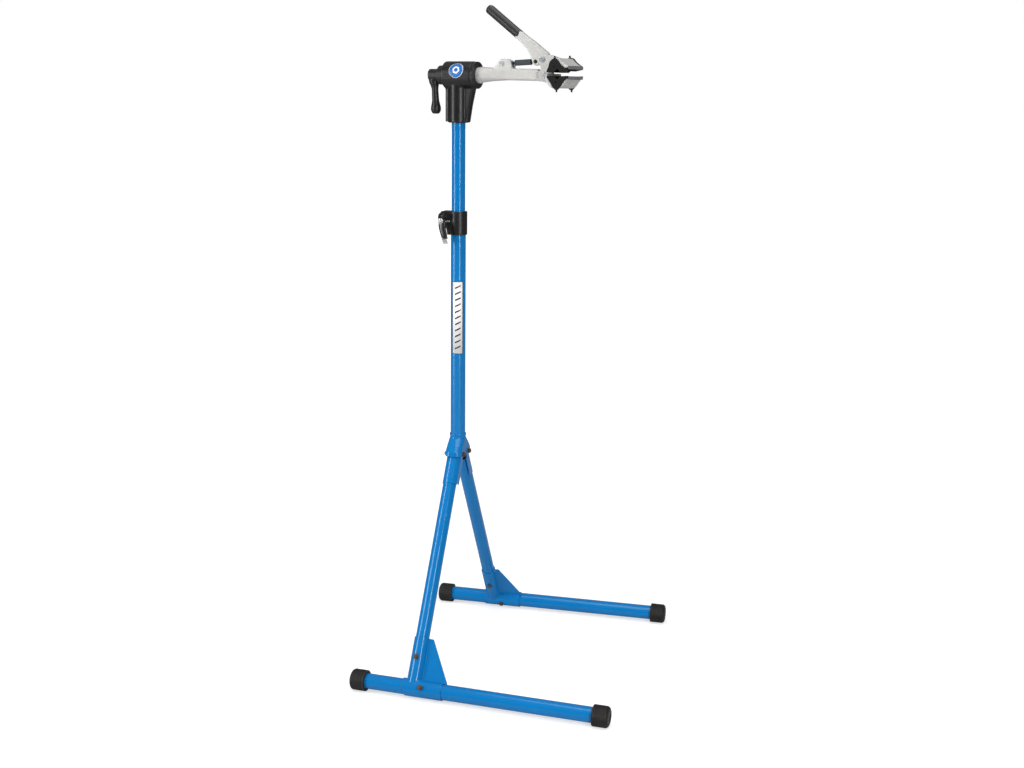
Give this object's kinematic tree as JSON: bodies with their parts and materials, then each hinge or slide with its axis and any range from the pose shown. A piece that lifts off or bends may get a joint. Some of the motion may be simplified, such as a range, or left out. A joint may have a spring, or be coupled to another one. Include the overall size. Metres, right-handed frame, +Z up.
{
  "type": "bike repair stand",
  "caption": "Folding two-legged bike repair stand with a telescoping mast and a rotating toggle clamp.",
  "frame": {"origin": "centre of the footprint on the floor", "axes": "+Z up, +X along the floor tubes towards the clamp side, -Y to the front floor tube"},
  "size_m": [0.555, 0.6342, 1.3936],
  "materials": {
    "blue_paint": "gloss powder coat",
    "black_casting": "satin black",
    "light_casting": "satin cast and lacquered",
    "black_rubber": "matt",
    "cap_rubber": "matt, ribbed",
    "black_plastic": "satin",
    "dipped_grip": "glossy dipped vinyl",
    "bright_zinc": "bright zinc",
    "dark_steel": "dark blue-grey plated",
    "brown_bolt": "brown-black plated",
    "silver_alloy": "polished"
  },
  "bodies": {
    "post": {"lower_post": "blue_paint", "yoke": "blue_paint", "pivot_bolts": "brown_bolt", "pivot_nuts": "brown_bolt", "collar": "black_plastic", "collar_skewer": "bright_zinc", "skewer_nut": "black_plastic", "cam_washer": "black_plastic"},
    "front_leg": {"front_leg_tube": "blue_paint", "front_leg_socket": "blue_paint", "front_foot_bracket": "blue_paint", "front_floor_tube": "blue_paint", "front_back_cap": "cap_rubber", "front_front_cap": "cap_rubber", "front_bracket_bolts": "brown_bolt", "front_bracket_nuts": "brown_bolt"},
    "rear_leg": {"rear_leg_tube": "blue_paint", "rear_leg_socket": "blue_paint", "rear_foot_bracket": "blue_paint", "rear_floor_tube": "blue_paint", "rear_back_cap": "cap_rubber", "rear_front_cap": "cap_rubber", "rear_bracket_bolts": "brown_bolt", "rear_bracket_nuts": "brown_bolt"},
    "collar_lever": {"cam_head": "black_plastic", "cam_lever": "silver_alloy"},
    "glide": {"tube_plug": "black_plastic"},
    "mast": {"upper_tube": "blue_paint", "head_casting": "black_casting", "front_bushing": "black_plastic", "rear_bushing": "black_plastic"},
    "clamp": {"clamp_arm": "light_casting", "lower_jaw_cover": "black_rubber", "link_pin": "bright_zinc"},
    "jaw": {"upper_jaw": "light_casting", "upper_jaw_cover": "black_rubber", "jaw_bolt": "bright_zinc", "jaw_nut": "bright_zinc", "handle_bolt": "bright_zinc", "handle_nut": "bright_zinc"},
    "handle": {"handle_lever": "light_casting", "handle_grip": "dipped_grip", "toggle_pin": "bright_zinc"},
    "link": {"link_eye": "dark_steel", "link_end": "dark_steel"},
    "adjuster": {"adjuster": "dark_steel"},
    "knob": {"knob": "black_plastic", "knob_insert": "bright_zinc"}
  },
  "joints": [
    {"name": "front_leg_fold", "type": "hinge", "parent": "post", "child": "front_leg", "pos_m": [-0.13891, -0.0185, 0.453], "axis": [1, 0, 0], "range_deg": [0, 30]},
    {"name": "rear_leg_fold", "type": "hinge", "parent": "post", "child": "rear_leg", "pos_m": [-0.13891, 0.0185, 0.453], "axis": [-1, 0, 0], "range_deg": [0, 30]},
    {"name": "collar_release", "type": "hinge", "parent": "post", "child": "collar_lever", "pos_m": [-0.16691, -0.024, 0.964], "axis": [-1, 0, 0], "range_deg": [0, 165]},
    {"name": "height_slide", "type": "slide", "parent": "post", "child": "glide", "axis": [0, 0, 1], "range_m": [-0.178, 0.195]},
    {"name": "mast_swivel", "type": "hinge", "parent": "glide", "child": "mast", "pos_m": [-0.13891, 0, 0.67], "axis": [0, 0, 1], "continuous": true},
    {"name": "clamp_rotate", "type": "hinge", "parent": "mast", "child": "clamp", "pos_m": [-0.13891, 0, 1.2545], "axis": [0.9877, -0.1564, 0], "continuous": true},
    {"name": "knob_turn", "type": "hinge", "parent": "clamp", "child": "knob", "pos_m": [-0.19224, 0.00845, 1.2545], "axis": [0.9877, -0.1564, 0], "range_deg": [-180, 180]},
    {"name": "handle_swing", "type": "hinge", "parent": "jaw", "child": "handle", "pos_m": [0.05211, -0.03025, 1.2858], "axis": [0.1564, 0.9877, 0], "range_deg": [0, 90]},
    {"name": "jaw_open", "type": "hinge", "parent": "clamp", "child": "jaw", "pos_m": [0.0611, -0.03168, 1.2551], "axis": [-0.1564, -0.9877, 0], "range_deg": [0, 16.2]},
    {"name": "link_tilt", "type": "hinge", "parent": "clamp", "child": "link", "pos_m": [-0.03599, -0.0163, 1.2778], "axis": [-0.1564, -0.9877, 0], "range_deg": [0, 12.6]},
    {"name": "adjuster_turn", "type": "hinge", "parent": "link", "child": "adjuster", "pos_m": [0.00542, -0.02286, 1.28016], "axis": [0.9861, -0.1562, 0.0562], "continuous": true}
  ],
  "couplings": [
    {"joint": "jaw_open", "follows": "handle_swing", "ratio": 0.18},
    {"joint": "link_tilt", "follows": "handle_swing", "ratio": 0.14}
  ]
}
